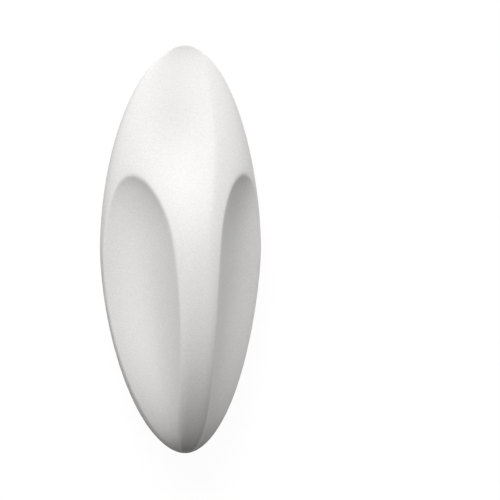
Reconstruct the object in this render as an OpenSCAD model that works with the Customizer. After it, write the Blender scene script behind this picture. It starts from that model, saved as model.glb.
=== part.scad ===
// Moulded rubber eraser, one piece, symmetric about the plane x = 0 but for its thumb dish.
// The body lies along Y. The dished wide end points to +Y, the narrow end to -Y.
// A ridge runs along the top, and a finger scoop lies on each side of it.
// The flat rest face under the body stands on z = 0, centred on the origin.

/* [Body] */
// overall length from tip to tip
body_len = 76; // [60:1:95]
// overall width at mid length
body_w = 30.9; // [24:0.1:40]
// height of both tips above the rest face
tip_h = 8.5; // [7:0.1:12]
// how far the outer edge dips below the tips at mid length
edge_dip = 3.1; // [2:0.1:5]
// how far the edge stays low before it climbs to the tips
edge_flat = 2.7; // [2:0.1:5]
// how full the outline is toward the wide end, higher is fuller
wide_full = 1.85; // [1.7:0.01:2.4]
// how full the outline is toward the narrow end
narrow_full = 1.64; // [1.4:0.01:2]
// roundness of the outline at its tips
tip_round = 1.92; // [1.7:0.01:2.2]

/* [Ridge] */
// height of the ridge above the tips, before the dip is taken off
ridge_h = 10.5; // [9:0.1:16]
// share of the ridge height lost from mid length to the wide end
ridge_lean = 0.24; // [-0.2:0.01:0.3]
// share of the ridge height lost toward both ends
ridge_fall = 0.68; // [0.2:0.01:0.8]
// how late the ridge drops to the narrow tip, higher is later
nose_full = 4.3; // [2:0.1:14]
// depth of the dip in the ridge line before the wide end
dip_depth = 0.6; // [0:0.1:6]
// place of the dip, forward of mid length
dip_y = 14.7; // [14:0.5:28]
// half length of the dip
dip_len = 19.9; // [8:0.5:30]
// width of the flat strip along the ridge
strip_w = 3.8; // [2:0.1:7]
// width of the strip at the wide end
strip_w_wide = 4.2; // [4:0.1:11]
// width of the strip at the narrow end
strip_w_narrow = 2.7; // [1:0.1:14]
// place of the middle of the strip's flare, forward of mid length
flare_y = 24; // [4:0.5:28]
// length over which the strip flares
flare_len = 34; // [10:1:50]
// rounding between the strip and the shoulders
crease_soft = 0.27; // [0.1:0.02:1]
// rounding of the left crease where it fades out at the wide end
crease_fade = 2.5; // [0.5:0.1:5]

/* [Dish] */
// depth of the thumb dish
dish_depth = 1.2; // [0:0.1:3]
// place of the dish across, with the left side negative
dish_x = -3.2; // [-8:0.1:0]
// place of the dish, forward of mid length
dish_y = 22; // [14:0.5:28]
// half width of the dish
dish_w = 5.2; // [3:0.1:12]
// half length of the dish
dish_len = 9; // [6:0.5:24]

/* [Shoulders] */
// share of straight slope in the shoulders at mid length
slope_mid = 0.35; // [0.1:0.05:1]
// share of straight slope in the shoulders at the wide end
slope_wide = 0.3; // [0:0.05:1]
// share of straight slope in the shoulders at the narrow end
slope_narrow = 0.29; // [0:0.05:1]

/* [Scoops] */
// place of a scoop's deepest line, as a share of the half width
scoop_q = 1.24; // [0.8:0.01:1.4]
// how far that line moves outward toward the wide end, as a share
scoop_shift = 0.16; // [-0.9:0.01:0.3]
// inner half width of a scoop, as a share of the half width
scoop_in = 0.88; // [0.4:0.01:1]
// how much wider a scoop is at the wide end, as a share
scoop_taper = 0.01; // [-0.5:0.01:0.5]
// where a scoop starts to rise toward its arch, from mid length
scoop_y = 1.3; // [-8:0.5:8]
// length of the rise up to the arch
scoop_rise = 21; // [8:0.1:26]
// squareness of the arch, where 2 is an ellipse
scoop_arch = 2.12; // [1.4:0.1:3]
// steepness of the wall, higher is a flatter floor and a steeper wall
scoop_steep = 5.5; // [2.5:0.1:8]
// height of the wall, as a share of the body height over the edge
scoop_wall = 0.5; // [0.2:0.01:0.8]
// height of the floor at mid length, as a share of the same
scoop_floor = 0.22; // [0.1:0.01:0.4]
// rise of the floor toward the wide end, as a share of the same
scoop_tilt = 0.09; // [0:0.01:0.5]
// rise of the floor toward both ends, as a share of the same
scoop_lift = 0.64; // [0.1:0.01:1]
// how far the floor bulges across, as a share of the same
scoop_bulge = 0.7; // [0:0.01:1.2]
// how far the floor tips inward toward the wide end, as a share of the same
scoop_twist = 0.42; // [-0.5:0.01:0.8]
// how far the floor tips outward toward both ends, as a share of the same
scoop_roll = 0.57; // [-0.5:0.01:1.2]
// rounding of a scoop's rim
rim_soft = 0.3; // [0.3:0.05:1.4]

/* [Underside] */
// size of the flat rest face, as a share of the outline
rest_share = 0.36; // [0.25:0.01:0.5]

/* [Facets] */
// stations along the length
stations = 72; // [36:2:72]
// columns across the top
columns = 58; // [30:2:58]
// rings under the body
rings = 9; // [5:1:9]

/* [Hidden] */
half_len = body_len / 2;
half_w = body_w / 2;
strip_limit = 0.92;
narrow_pow = 3;
slope_rate = 1.2;
fade_lead = 0.2;
rise_soft = 0.3;
bulge_q = 0.6;
edge_rows = stations - 1;
row_pts = columns + 1;
loop_pts = 2 * stations;

function soft_min(a, b, r) = (a + b - sqrt((a - b) * (a - b) + r * r)) / 2;

function soft_step(x) = let (c = min(1, max(0, x))) c * c * (3 - 2 * c);

// t runs from -1 at the narrow tip to 1 at the wide tip, q from -1 at the left edge to 1
function fullness(t) = t > 0 ? wide_full : narrow_full;

function outline(t) = half_w * pow(max(0, 1 - pow(abs(t), fullness(t))), 1 / tip_round);

function edge_z(t) = tip_h - edge_dip * (1 - pow(abs(t), edge_flat));

function dome(t) = sqrt(max(0, 1 - pow(abs(t), t > 0 ? 2 : nose_full)));

function dip(t) = dip_depth * exp(-pow((t * half_len - dip_y) / dip_len, 2));

function crease_z(t) =
    tip_h + dome(t) * (ridge_h * (1 - ridge_lean * t - ridge_fall * t * t) - dip(t));

function flare(t) = soft_step((t * half_len - flare_y) / flare_len + 1 / 2);

function free_strip(t) =
    strip_w / 2
    + (strip_w_wide - strip_w) / 2 * flare(t)
    + (strip_w_narrow - strip_w) / 2 * pow(max(0, -t), narrow_pow);

// half width of the strip, kept inside the outline
function strip(t) = pow(pow(free_strip(t), -4) + pow(strip_limit * outline(t), -4), -0.25);

function slope_share(t) =
    slope_mid
    + (slope_wide - slope_mid) * soft_step(slope_rate * t)
    + (slope_narrow - slope_mid) * soft_step(-slope_rate * t);

// a shoulder at u across, part straight slope and part quarter ellipse down to the edge
function shoulder_z(t, u) =
    let (
        v = (u - strip(t)) / (outline(t) - strip(t)),
        b = slope_share(t),
        round_drop = 1 - sqrt(max(0, 1 - pow(min(1, max(0, v)), 2)))
    )
    edge_z(t) + (crease_z(t) - edge_z(t)) * (1 - b * v - (1 - b) * round_drop);

// the thumb dish, centred left of the ridge line
function dish_z(t, q) =
    let (
        along = (t * half_len - dish_y) / dish_len,
        across = (q * outline(t) - dish_x) / dish_w
    )
    dish_depth * exp(-along * along - across * across) * (1 - q * q);

// rounding of the left crease, which fades out toward the dish
function left_soft(t) =
    crease_soft + (crease_fade - crease_soft) * soft_step(slope_rate * t + fade_lead);

// the gouge of a finger scoop, open toward the narrow end
function scoop_z(t, q) =
    let (
        x = (t * half_len - scoop_y) / scoop_rise,
        along = (x + sqrt(x * x + rise_soft * rise_soft)) / 2,
        across = max(0, scoop_q + scoop_shift * t - abs(q)) / (scoop_in * (1 + scoop_taper * t)),
        wall = pow(pow(along, scoop_arch) + pow(across, scoop_arch), scoop_steep / scoop_arch),
        w = abs(q) - bulge_q,
        along_floor = scoop_floor + scoop_tilt * t + scoop_lift * t * t,
        across_floor = (scoop_twist * t - scoop_roll * t * t) * w - scoop_bulge * w * w,
        floor_share = along_floor + across_floor
    )
    edge_z(t) + (crease_z(t) - edge_z(t)) * (floor_share + scoop_wall * wall);

function top_z(t, q) =
    let (
        u = q * outline(t),
        left = soft_min(crease_z(t), shoulder_z(t, -u), left_soft(t) * dome(t)),
        dished = left - dome(t) * dish_z(t, q),
        body = soft_min(dished, shoulder_z(t, u), crease_soft * dome(t))
    )
    soft_min(body, scoop_z(t, q), rim_soft * dome(t));

// stations crowd toward the tips, columns crowd toward the edges
function station(i) = -cos(180 * i / stations);

function column(j) = let (s = 2 * j / columns - 1) (s + sin(90 * s)) / 2;

function top_point(t, q) = [q * outline(t), t * half_len, top_z(t, q)];

module eraser()
{
    low_tip = [0, -half_len, tip_h];
    high_tip = [0, half_len, tip_h];
    rows = [for (i = [1 : edge_rows]) [for (j = [0 : columns]) top_point(station(i), column(j))]];
    loop = concat(
        [low_tip],
        [for (row = rows) row[columns]],
        [high_tip],
        [for (i = [edge_rows - 1 : -1 : 0]) rows[i][0]]
    );

    // the underside shrinks the outline ring by ring down to the rest face
    under = [
        for (k = [1 : rings])
            let (a = 90 * k / rings, s = rest_share + (1 - rest_share) * cos(a))
            for (p = loop) [p.x * s, p.y * s, p.z * (1 - sin(a))]
    ];
    points = concat([low_tip, high_tip], [for (row = rows) each row], under);

    // where the points of the outline and of each ring sit in the list
    under_0 = 2 + edge_rows * row_pts;
    loop_id = concat(
        [0],
        [for (i = [0 : edge_rows - 1]) 2 + i * row_pts + columns],
        [1],
        [for (i = [edge_rows - 1 : -1 : 0]) 2 + i * row_pts]
    );
    ring_ids = concat(
        [loop_id],
        [for (k = [0 : rings - 1]) [for (n = [0 : loop_pts - 1]) under_0 + k * loop_pts + n]]
    );

    low_cap = [for (j = [0 : columns - 1]) [0, 2 + j, 3 + j]];
    high_0 = 2 + (edge_rows - 1) * row_pts;
    high_cap = [for (j = [0 : columns - 1]) [1, high_0 + j + 1, high_0 + j]];
    top = [
        for (i = [0 : edge_rows - 2], j = [0 : columns - 1])
            let (a = 2 + i * row_pts + j, b = a + row_pts)
            each [[a, b, b + 1], [a, b + 1, a + 1]]
    ];
    hull = [
        for (k = [0 : rings - 1], n = [0 : loop_pts - 1])
            let (m = (n + 1) % loop_pts, r = ring_ids[k], s = ring_ids[k + 1])
            each [[r[n], r[m], s[m]], [r[n], s[m], s[n]]]
    ];
    rest_face = [[for (n = [0 : loop_pts - 1]) ring_ids[rings][n]]];

    color([0.93, 0.93, 0.92])
        polyhedron(points, concat(low_cap, high_cap, top, hull, rest_face));
}

eraser();
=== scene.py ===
"""A moulded white rubber eraser on a pale floor, seen from above and a little from its left."""

import math

import bpy
import numpy as np
from mathutils import Matrix, Vector


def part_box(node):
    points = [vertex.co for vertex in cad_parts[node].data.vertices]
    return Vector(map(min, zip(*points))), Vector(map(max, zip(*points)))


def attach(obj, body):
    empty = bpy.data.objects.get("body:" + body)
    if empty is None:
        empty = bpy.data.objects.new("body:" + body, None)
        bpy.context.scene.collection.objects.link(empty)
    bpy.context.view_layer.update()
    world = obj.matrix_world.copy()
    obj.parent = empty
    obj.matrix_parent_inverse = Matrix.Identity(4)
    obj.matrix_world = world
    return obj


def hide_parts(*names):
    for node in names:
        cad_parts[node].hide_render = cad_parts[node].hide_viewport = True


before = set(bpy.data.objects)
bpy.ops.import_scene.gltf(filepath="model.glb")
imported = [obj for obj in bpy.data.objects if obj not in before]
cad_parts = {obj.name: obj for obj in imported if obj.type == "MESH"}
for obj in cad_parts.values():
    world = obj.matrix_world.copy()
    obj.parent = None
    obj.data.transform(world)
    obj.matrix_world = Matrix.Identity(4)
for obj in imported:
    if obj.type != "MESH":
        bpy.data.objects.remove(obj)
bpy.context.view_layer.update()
low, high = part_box("eraser")

# Sizes of the eraser. Lengths are in millimetres, and places along the body are counted from its
# middle toward the wide end. Values with no unit are shares and exponents of the formulas below.
MM_PER_M = 1000
HALF_LEN = (high.y - low.y) * MM_PER_M / 2
HALF_W = (high.x - low.x) * MM_PER_M / 2

# Height of both tips.
TIP_H = 8.5

# Outline: how full it is toward each tip, and how round the tips are.
WIDE_FULL = 1.85
NARROW_FULL = 1.64
TIP_ROUND = 1.92

# Edge: how far it dips between the tips, and how flat the dip is.
EDGE_DIP = 3.1
EDGE_FLAT = 2.7

# Ridge line: its rise over the tips, how it leans and falls, and how blunt its two ends are.
RIDGE_H = 10.5
RIDGE_LEAN = 0.24
RIDGE_FALL = 0.68
WIDE_DOME = 2.0
NARROW_DOME = 4.3

# A slight dip of the ridge line.
DIP_DEPTH = 0.6
DIP_Y = 14.7
DIP_LEN = 19.9

# Flat strip along the ridge: its width at the middle and at both ends, how late it narrows, how it
# is kept inside the outline, and where it flares.
STRIP_W = 3.8
STRIP_W_WIDE = 4.2
STRIP_W_NARROW = 2.7
NARROW_POW = 3
STRIP_LIMIT = 0.92
STRIP_LIMIT_POW = 4
FLARE_Y = 24.0
FLARE_LEN = 34.0

# Creases beside the strip: the crisp rounding, the left one's soft rounding at the wide end, and how
# much sooner than the slopes it changes.
CREASE_SOFT = 0.27
CREASE_FADE = 2.5
FADE_LEAD = 0.2

# Thumb dish, centred left of the ridge line.
DISH_DEPTH = 1.7
DISH_X = -2.8
DISH_Y = 20.0
DISH_W = 5.2
DISH_LEN = 10.0

# Shoulders: how much of each one is a straight slope, and how fast that changes along the body.
SLOPE_MID = 0.35
SLOPE_WIDE = 0.3
SLOPE_NARROW = 0.29
SLOPE_RATE = 1.2

# Finger scoops: where their walls start across and along the body, and how the walls rise.
SCOOP_Q = 1.24
SCOOP_SHIFT = 0.16
SCOOP_IN = 0.88
SCOOP_TAPER = 0.01
SCOOP_Y = 1.3
SCOOP_RISE = 21.0
RISE_SOFT = 0.3
SCOOP_ARCH = 2.12
SCOOP_STEEP = 5.5
SCOOP_WALL = 0.5

# Floors of the scoops: height, tilt along the body, and bulge and roll across it.
SCOOP_FLOOR = 0.22
SCOOP_TILT = 0.09
SCOOP_LIFT = 0.64
BULGE_Q = 0.6
SCOOP_BULGE = 0.7
SCOOP_TWIST = 0.42
SCOOP_ROLL = 0.57

# Rims of the scoops: their rounding, the steep lip under them, and how late it ends at the edge.
RIM_SOFT = 0.45
LIP = 0.5
LIP_POW = 6

# Rest face, as a share of the outline.
REST_SHARE = 0.36

# Camera: degrees that it leans to the left, its lens, and the eraser's size and place in the picture.
LEAN = 15.3
LENS_MM = 300.0
SENSOR_MM = 36.0
IMAGE_PX = 500
ERASER_PX = 408
LEFT_OF_MIDDLE_PX = 65
ABOVE_MIDDLE_PX = 0.8

# Studio, in metres. GLOW_SHARE is how much of the floor's look is its own white, not its shading.
FLOOR_HALF = 3.0
SOFTBOX_SIZE = 0.6
GLOW_SHARE = 0.85


def soft_min(a, b, r):
    """The lower of a and b, with the corner between them rounded over about r."""
    return (a + b - np.sqrt((a - b) ** 2 + r * r)) / 2


def soft_step(x):
    """A smooth step from 0 at x = 0 to 1 at x = 1."""
    c = np.clip(x, 0, 1)
    return c * c * (3 - 2 * c)


def outline(t):
    """Half width of the body. t runs from -1 at the narrow tip to 1 at the wide tip."""
    fullness = np.where(t > 0, WIDE_FULL, NARROW_FULL)
    return HALF_W * np.maximum(0, 1 - np.abs(t) ** fullness) ** (1 / TIP_ROUND)


def edge_z(t):
    """Height of the edge that runs round the body."""
    return TIP_H - EDGE_DIP * (1 - np.abs(t) ** EDGE_FLAT)


def dome(t):
    """A share that is 1 at the middle and falls to 0 at both tips."""
    return np.sqrt(np.maximum(0, 1 - np.abs(t) ** np.where(t > 0, WIDE_DOME, NARROW_DOME)))


def crease_z(t):
    """Height of the ridge line and of the creases beside it."""
    dip = DIP_DEPTH * np.exp(-((t * HALF_LEN - DIP_Y) / DIP_LEN) ** 2)
    return TIP_H + dome(t) * (RIDGE_H * (1 - RIDGE_LEAN * t - RIDGE_FALL * t * t) - dip)


def strip(t):
    """Half width of the strip along the ridge, kept inside the outline."""
    flare = soft_step((t * HALF_LEN - FLARE_Y) / FLARE_LEN + 0.5)
    narrow = np.maximum(0, -t) ** NARROW_POW
    free = (STRIP_W + (STRIP_W_WIDE - STRIP_W) * flare + (STRIP_W_NARROW - STRIP_W) * narrow) / 2
    limit = STRIP_LIMIT * outline(t)
    return (free ** -STRIP_LIMIT_POW + limit ** -STRIP_LIMIT_POW) ** (-1 / STRIP_LIMIT_POW)


def slope_share(t):
    """How much of a shoulder is a straight slope."""
    toward_wide = (SLOPE_WIDE - SLOPE_MID) * soft_step(SLOPE_RATE * t)
    toward_narrow = (SLOPE_NARROW - SLOPE_MID) * soft_step(-SLOPE_RATE * t)
    return SLOPE_MID + toward_wide + toward_narrow


def shoulder_z(t, u):
    """A shoulder at u across, part straight slope and part quarter ellipse down to the edge."""
    v = (u - strip(t)) / (outline(t) - strip(t))
    b = slope_share(t)
    round_drop = 1 - np.sqrt(1 - np.clip(v, 0, 1) ** 2)
    return edge_z(t) + (crease_z(t) - edge_z(t)) * (1 - b * v - (1 - b) * round_drop)


def dish_z(t, q):
    """Depth of the thumb dish."""
    along = (t * HALF_LEN - DISH_Y) / DISH_LEN
    across = (q * outline(t) - DISH_X) / DISH_W
    return DISH_DEPTH * np.exp(-along ** 2 - across ** 2) * (1 - q * q)


def scoop_z(t, q):
    """Height of the gouge of a finger scoop, open toward the narrow end."""
    x = (t * HALF_LEN - SCOOP_Y) / SCOOP_RISE
    along = (x + np.sqrt(x * x + RISE_SOFT ** 2)) / 2
    across = np.maximum(0, SCOOP_Q + SCOOP_SHIFT * t - np.abs(q)) / (SCOOP_IN * (1 + SCOOP_TAPER * t))
    wall = (along ** SCOOP_ARCH + across ** SCOOP_ARCH) ** (SCOOP_STEEP / SCOOP_ARCH)
    w = np.abs(q) - BULGE_Q
    along_floor = SCOOP_FLOOR + SCOOP_TILT * t + SCOOP_LIFT * t * t
    across_floor = (SCOOP_TWIST * t - SCOOP_ROLL * t * t) * w - SCOOP_BULGE * w * w
    return edge_z(t) + (crease_z(t) - edge_z(t)) * (along_floor + across_floor + SCOOP_WALL * wall)


def lip_drop(t, q, depth):
    """Extra drop of a scoop. It grows fast with the depth under the rim and runs out at the edge."""
    return LIP * (1 - np.exp(-np.maximum(0, depth) / LIP)) * dome(t) * (1 - q ** LIP_POW)


def top_z(t, q):
    """Height of the upper surface. q runs from -1 at the left edge to 1 at the right edge."""
    u = q * outline(t)
    left_soft = CREASE_SOFT + (CREASE_FADE - CREASE_SOFT) * soft_step(SLOPE_RATE * t + FADE_LEAD)
    left = soft_min(crease_z(t), shoulder_z(t, -u), left_soft * dome(t))
    dished = left - dome(t) * dish_z(t, q)
    body = soft_min(dished, shoulder_z(t, u), CREASE_SOFT * dome(t))
    scoop = scoop_z(t, q)
    return soft_min(body, scoop - lip_drop(t, q, body - scoop), RIM_SOFT * dome(t))


def eraser_mesh(stations, columns, rings):
    """Points and faces: a grid over the top between two tips, then rings down to the rest face."""
    t = -np.cos(np.pi * np.arange(1, stations) / stations)[:, None]
    s = 2 * np.arange(columns + 1) / columns - 1
    q = ((s + np.sin(np.pi / 2 * s)) / 2)[None, :]
    top = np.stack(np.broadcast_arrays(q * outline(t), t * HALF_LEN, top_z(t, q)), axis=-1)
    tips = np.array([[0, -HALF_LEN, TIP_H], [0, HALF_LEN, TIP_H]])
    points = [tips, top.reshape(-1, 3)]
    grid = len(tips) + np.arange(t.size * q.size).reshape(t.size, q.size)
    loop = np.concatenate([[0], grid[:, -1], [1], grid[::-1, 0]])
    edge = np.concatenate(points)[loop]
    under = [loop]
    for k in range(rings):
        a = math.pi / 2 * (k + 1) / rings
        share = REST_SHARE + (1 - REST_SHARE) * math.cos(a)
        points.append(edge * [share, share, 1 - math.sin(a)])
        under.append(len(tips) + grid.size + k * len(loop) + np.arange(len(loop)))
    return np.concatenate(points) / MM_PER_M, grid_faces(grid.tolist()) + ring_faces(under)


def grid_faces(grid):
    """Faces of the grid, with a fan from its first row to point 0 and from its last to point 1."""
    columns = range(len(grid[0]) - 1)
    faces = [(0, grid[0][j + 1], grid[0][j]) for j in columns]
    faces += [(1, grid[-1][j], grid[-1][j + 1]) for j in columns]
    for lower, upper in zip(grid, grid[1:]):
        faces += [(lower[j], lower[j + 1], upper[j + 1], upper[j]) for j in columns]
    return faces


def ring_faces(rings):
    """Faces between closed rings, each inside the one before, and one face across the last ring."""
    faces = []
    for outer, inner in zip(rings, rings[1:]):
        corners = [outer, inner, np.roll(inner, -1), np.roll(outer, -1)]
        faces += np.stack(corners, axis=-1).tolist()
    return faces + [rings[-1][::-1].tolist()]


def add_object(name, data):
    """A new object in the scene that shows the mesh, lamp or camera."""
    thing = bpy.data.objects.new(name, data)
    bpy.context.collection.objects.link(thing)
    return thing


def make_eraser():
    """The eraser as one smooth closed mesh, fine enough to show no facets."""
    points, faces = eraser_mesh(stations=340, columns=240, rings=12)
    mesh = bpy.data.meshes.new("eraser_body")
    mesh.from_pydata(points.tolist(), [], faces)
    mesh.validate()
    mesh.shade_smooth()
    mesh.materials.append(rubber())
    return add_object("eraser_body", mesh)


def rubber():
    """Matt white rubber with a fine speckle and a fine grain."""
    mat = bpy.data.materials.new("white_rubber")
    mat.use_nodes = True
    nodes, links = mat.node_tree.nodes, mat.node_tree.links
    shader = nodes["Principled BSDF"]
    shader.inputs["Roughness"].default_value = 0.6
    shader.inputs["Specular IOR Level"].default_value = 0.2
    place = nodes.new("ShaderNodeTexCoord")
    speckle = nodes.new("ShaderNodeTexNoise")
    speckle.inputs["Scale"].default_value = 3600
    speckle.inputs["Detail"].default_value = 2
    tint = nodes.new("ShaderNodeMix")
    tint.data_type = "RGBA"
    tint.inputs["A"].default_value = (0.735, 0.729, 0.715, 1)
    tint.inputs["B"].default_value = (0.935, 0.928, 0.911, 1)
    grain = nodes.new("ShaderNodeTexNoise")
    grain.inputs["Scale"].default_value = 3000
    bump = nodes.new("ShaderNodeBump")
    bump.inputs["Strength"].default_value = 0.1
    bump.inputs["Distance"].default_value = 0.00003
    links.new(place.outputs["Object"], speckle.inputs["Vector"])
    links.new(place.outputs["Object"], grain.inputs["Vector"])
    links.new(speckle.outputs["Fac"], tint.inputs["Factor"])
    links.new(tint.outputs["Result"], shader.inputs["Base Color"])
    links.new(grain.outputs["Fac"], bump.inputs["Height"])
    links.new(bump.outputs["Normal"], shader.inputs["Normal"])
    return mat


def seen_directly(nodes, links):
    """A value that is 1 for what the camera sees, also in a gloss or through glass, and 0 for lighting."""
    path = nodes.new("ShaderNodeLightPath")
    gloss = nodes.new("ShaderNodeMath")
    gloss.operation = "MAXIMUM"
    either = nodes.new("ShaderNodeMath")
    either.operation = "MAXIMUM"
    links.new(path.outputs["Is Glossy Ray"], gloss.inputs[0])
    links.new(path.outputs["Is Transmission Ray"], gloss.inputs[1])
    links.new(path.outputs["Is Camera Ray"], either.inputs[0])
    links.new(gloss.outputs["Value"], either.inputs[1])
    return either.outputs["Value"]


def floor_white():
    """A pale floor that the camera sees as near white, with the shadow still on it."""
    mat = bpy.data.materials.new("floor_white")
    mat.use_nodes = True
    nodes, links = mat.node_tree.nodes, mat.node_tree.links
    nodes.clear()
    surface = nodes.new("ShaderNodeOutputMaterial")
    matte = nodes.new("ShaderNodeBsdfDiffuse")
    matte.inputs["Color"].default_value = (0.4, 0.4, 0.4, 1)
    glow = nodes.new("ShaderNodeEmission")
    glow.inputs["Color"].default_value = (1, 1, 1, 1)
    glow.inputs["Strength"].default_value = 1.13
    share = nodes.new("ShaderNodeMath")
    share.operation = "MULTIPLY"
    share.inputs[1].default_value = GLOW_SHARE
    mix = nodes.new("ShaderNodeMixShader")
    links.new(seen_directly(nodes, links), share.inputs[0])
    links.new(share.outputs["Value"], mix.inputs["Fac"])
    links.new(matte.outputs["BSDF"], mix.inputs[1])
    links.new(glow.outputs["Emission"], mix.inputs[2])
    links.new(mix.outputs["Shader"], surface.inputs["Surface"])
    return mat


def make_floor():
    """A plain square floor at height 0."""
    mesh = bpy.data.meshes.new("floor")
    r = FLOOR_HALF
    mesh.from_pydata([(-r, -r, 0), (r, -r, 0), (r, r, 0), (-r, r, 0)], [], [(0, 1, 2, 3)])
    mesh.materials.append(floor_white())
    add_object("floor", mesh)


def softbox(name, elevation, azimuth, power):
    """A round softbox one metre from the eraser, with its azimuth counted from +X toward +Y."""
    e, a = math.radians(elevation), math.radians(azimuth)
    place = Vector((math.cos(e) * math.cos(a), math.cos(e) * math.sin(a), math.sin(e)))
    lamp = bpy.data.lights.new(name, "AREA")
    lamp.shape = "DISK"
    lamp.size = SOFTBOX_SIZE
    lamp.energy = power
    box = add_object(name, lamp)
    box.location = place
    box.rotation_euler = (-place).to_track_quat("-Z", "Y").to_euler()


def make_world(strength):
    """A dim white room for the lighting, which the camera sees as plain white."""
    world = bpy.data.worlds.new("studio")
    bpy.context.scene.world = world
    world.use_nodes = True
    nodes, links = world.node_tree.nodes, world.node_tree.links
    nodes.clear()
    surface = nodes.new("ShaderNodeOutputWorld")
    room = nodes.new("ShaderNodeBackground")
    room.inputs["Color"].default_value = (1, 1, 1, 1)
    room.inputs["Strength"].default_value = strength
    white = nodes.new("ShaderNodeBackground")
    white.inputs["Color"].default_value = (1, 1, 1, 1)
    mix = nodes.new("ShaderNodeMixShader")
    links.new(seen_directly(nodes, links), mix.inputs["Fac"])
    links.new(room.outputs["Background"], mix.inputs[1])
    links.new(white.outputs["Background"], mix.inputs[2])
    links.new(mix.outputs["Shader"], surface.inputs["Surface"])


def make_camera():
    """A long lens above the eraser, leaning to its left. The eraser stands left of the middle."""
    lean = math.radians(LEAN)
    px = 2 * HALF_LEN / ERASER_PX / MM_PER_M
    anchor = Vector((0, 0, TIP_H / MM_PER_M))
    right = Vector((math.cos(lean), 0, math.sin(lean)))
    back = Vector((-math.sin(lean), 0, math.cos(lean)))
    aim = anchor + right * LEFT_OF_MIDDLE_PX * px - Vector((0, ABOVE_MIDDLE_PX * px, 0))
    data = bpy.data.cameras.new("camera")
    data.lens = LENS_MM
    data.sensor_width = SENSOR_MM
    data.clip_start = 0.01
    data.clip_end = 10
    camera = add_object("camera", data)
    camera.location = anchor + back * (IMAGE_PX * px * LENS_MM / SENSOR_MM)
    look = (camera.location - aim).normalized()
    across = Vector((0, 1, 0)).cross(look).normalized()
    up = look.cross(across)
    camera.rotation_euler = Matrix((across, up, look)).transposed().to_euler()
    bpy.context.scene.camera = camera


make_camera()
make_floor()
make_world(strength=0.01)
softbox("key", elevation=38, azimuth=120, power=8.3)
softbox("front", elevation=38, azimuth=84, power=3.3)
softbox("left", elevation=38, azimuth=190, power=1.1)
softbox("right", elevation=14, azimuth=20, power=3.3)

eraser = make_eraser()
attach(eraser, "root")
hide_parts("eraser")

bpy.context.scene.view_settings.view_transform = "Standard"
